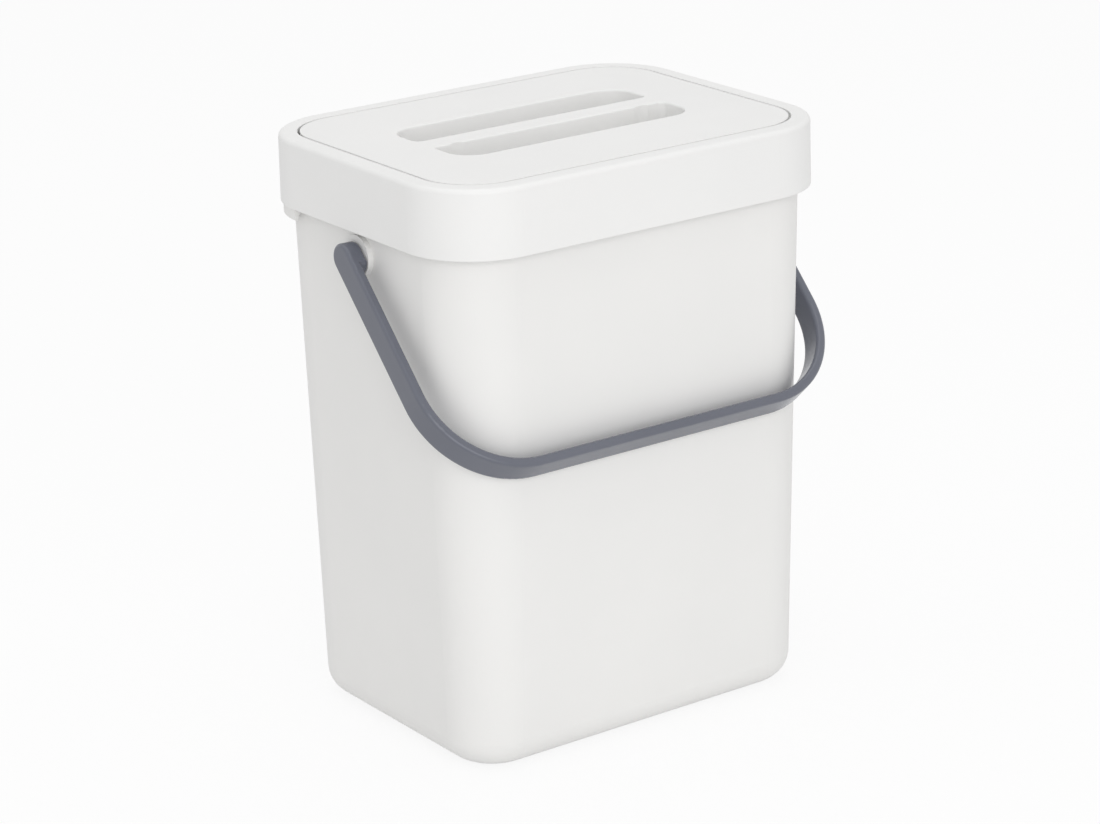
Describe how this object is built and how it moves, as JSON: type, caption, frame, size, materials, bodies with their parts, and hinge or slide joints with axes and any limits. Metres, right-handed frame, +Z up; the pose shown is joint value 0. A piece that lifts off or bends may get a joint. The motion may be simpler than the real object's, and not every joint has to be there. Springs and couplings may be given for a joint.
{
  "type": "compost caddy",
  "caption": "Tapered rectangular kitchen caddy with a skirted lid frame, a flush hinged lid with recessed grip pockets, and a swinging bail handle.",
  "frame": {"origin": "centre of the flat base, on the surface that the caddy stands on", "axes": "+Z up; the wide front faces -Y, where the bail rests; the lid hinges along its back edge, toward +Y; X runs along the front"},
  "size_m": [0.1952, 0.1491, 0.24],
  "materials": {
    "bucket_shell": "satin white polypropylene",
    "frame_shell": "satin white polypropylene",
    "lid_shell": "satin white polypropylene",
    "handle": "satin slate grey polypropylene"
  },
  "bodies": {
    "bucket_body": {"bucket": "bucket_shell"},
    "frame_body": {"lid_frame": "frame_shell"},
    "lid_body": {"lid_panel": "lid_shell"},
    "bail_body": {"bail_handle": "handle"}
  },
  "joints": [
    {"name": "bail_swing", "type": "hinge", "parent": "bucket_body", "child": "bail_body", "pos_m": [0, 0, 0.202], "axis": [-1, 0, 0], "range_deg": [0, 271]},
    {"name": "frame_lift", "type": "slide", "parent": "bucket_body", "child": "frame_body", "axis": [0, 0, 1], "range_m": [0, 0.06]},
    {"name": "lid_flip", "type": "hinge", "parent": "frame_body", "child": "lid_body", "pos_m": [0, 0.04235, 0.2364], "axis": [-1, 0, 0], "range_deg": [0, 100]}
  ]
}
